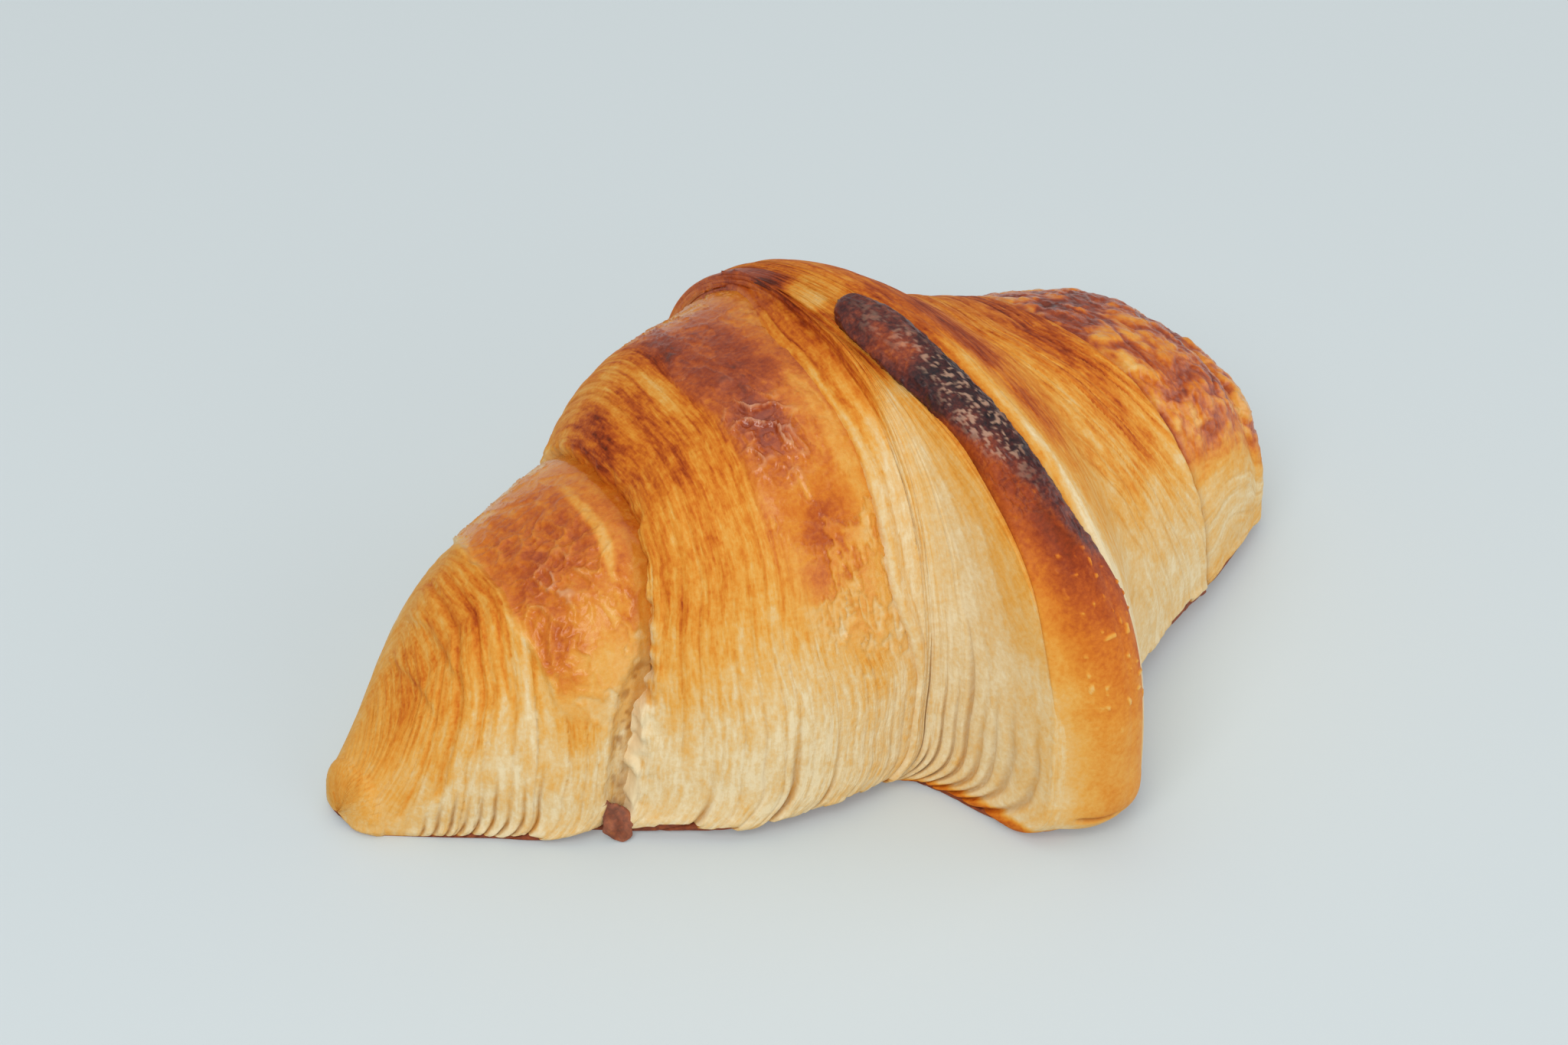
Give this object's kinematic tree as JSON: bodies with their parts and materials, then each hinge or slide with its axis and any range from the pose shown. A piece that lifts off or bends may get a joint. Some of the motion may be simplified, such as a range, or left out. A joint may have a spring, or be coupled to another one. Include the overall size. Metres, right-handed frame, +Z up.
{
  "type": "croissant",
  "caption": "Baked butter croissant: a rolled, layered crescent with stepped wraps, a ridged last turn over the middle and a flat underside.",
  "frame": {"origin": "under the middle of the bounding box, on the surface that the croissant lies on", "axes": "+X along the roll from the thin tip to the blunt end, -Y towards the side where the middle bulges out, +Z up"},
  "size_m": [0.1514, 0.104, 0.0571],
  "materials": {
    "crust": "baked, egg-washed laminated dough: golden brown and softly glossy on the skins, pale and matt on the cut layers"
  },
  "bodies": {
    "root": {"croissant": "crust"}
  },
  "joints": []
}
